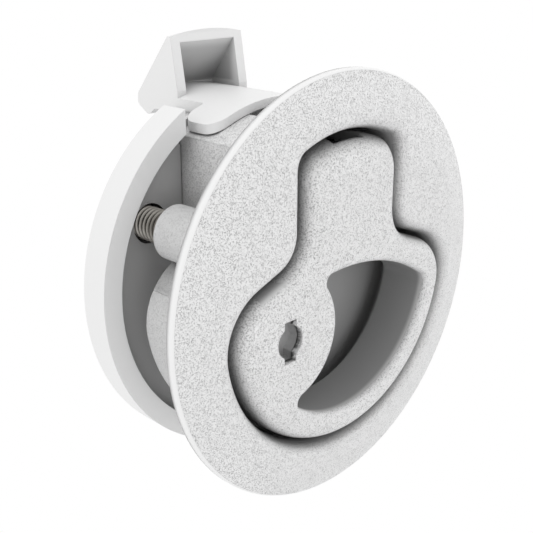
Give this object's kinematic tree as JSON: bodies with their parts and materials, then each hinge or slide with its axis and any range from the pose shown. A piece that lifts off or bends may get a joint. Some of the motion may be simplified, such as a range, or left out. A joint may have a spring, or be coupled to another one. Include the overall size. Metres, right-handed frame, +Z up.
{
  "type": "push-to-close latch",
  "caption": "Round flush pull latch with a keyhole pocket, finger-loop lever, key slot, sprung slam bolt and a screwed rear clamp cup.",
  "frame": {"origin": "centre of the flat seat behind the round flange", "axes": "front faces -Y, panel side is +Y, bolt points up along +Z, +X to the right seen from the front"},
  "size_m": [0.0634, 0.0395, 0.0668],
  "materials": {
    "housing_plastic": "fine moulded texture",
    "lever_plastic": "fine moulded texture",
    "bolt_plastic": "smooth",
    "cup_plastic": "smooth",
    "steel": "plated",
    "spring_steel": "drawn wire",
    "brass": "turned",
    "plug_metal": "satin"
  },
  "bodies": {
    "housing_body": {"flange_housing": "housing_plastic", "rear_cup": "cup_plastic", "lever_pin": "steel", "bolt_pin": "steel", "lever_spring": "spring_steel", "bolt_spring_left": "spring_steel", "bolt_spring_right": "spring_steel", "cup_screw_left": "steel", "cup_screw_right": "steel", "screw_washer_left": "steel", "screw_washer_right": "steel", "boss_insert_left": "brass", "boss_insert_right": "brass"},
    "lever_body": {"pull_lever": "lever_plastic", "plug_ring": "spring_steel"},
    "bolt_body": {"slam_bolt": "bolt_plastic"},
    "lock_body": {"lock_plug": "plug_metal", "lock_cam": "steel", "cam_screw": "steel"}
  },
  "joints": [
    {"name": "lever_hinge", "type": "hinge", "parent": "housing_body", "child": "lever_body", "pos_m": [0, 0.0012, 0.0192], "axis": [-1, 0, 0], "range_deg": [0, 17], "stiffness_Nm_per_rad": 0.06, "springref_deg": -28.65},
    {"name": "bolt_hinge", "type": "hinge", "parent": "housing_body", "child": "bolt_body", "pos_m": [0, 0.0185, 0.0215], "axis": [-1, 0, 0], "range_deg": [0, 25], "stiffness_Nm_per_rad": 0.08, "springref_deg": -28.65, "deforming": ["bolt_spring_left", "bolt_spring_right"]},
    {"name": "lock_turn", "type": "hinge", "parent": "lever_body", "child": "lock_body", "pos_m": [-0.0135, 0, -0.00306], "axis": [0, 1, 0], "range_deg": [0, 90]}
  ],
  "couplings": [
    {"joint": "bolt_hinge", "follows": "lever_hinge", "ratio": 1.4705}
  ]
}
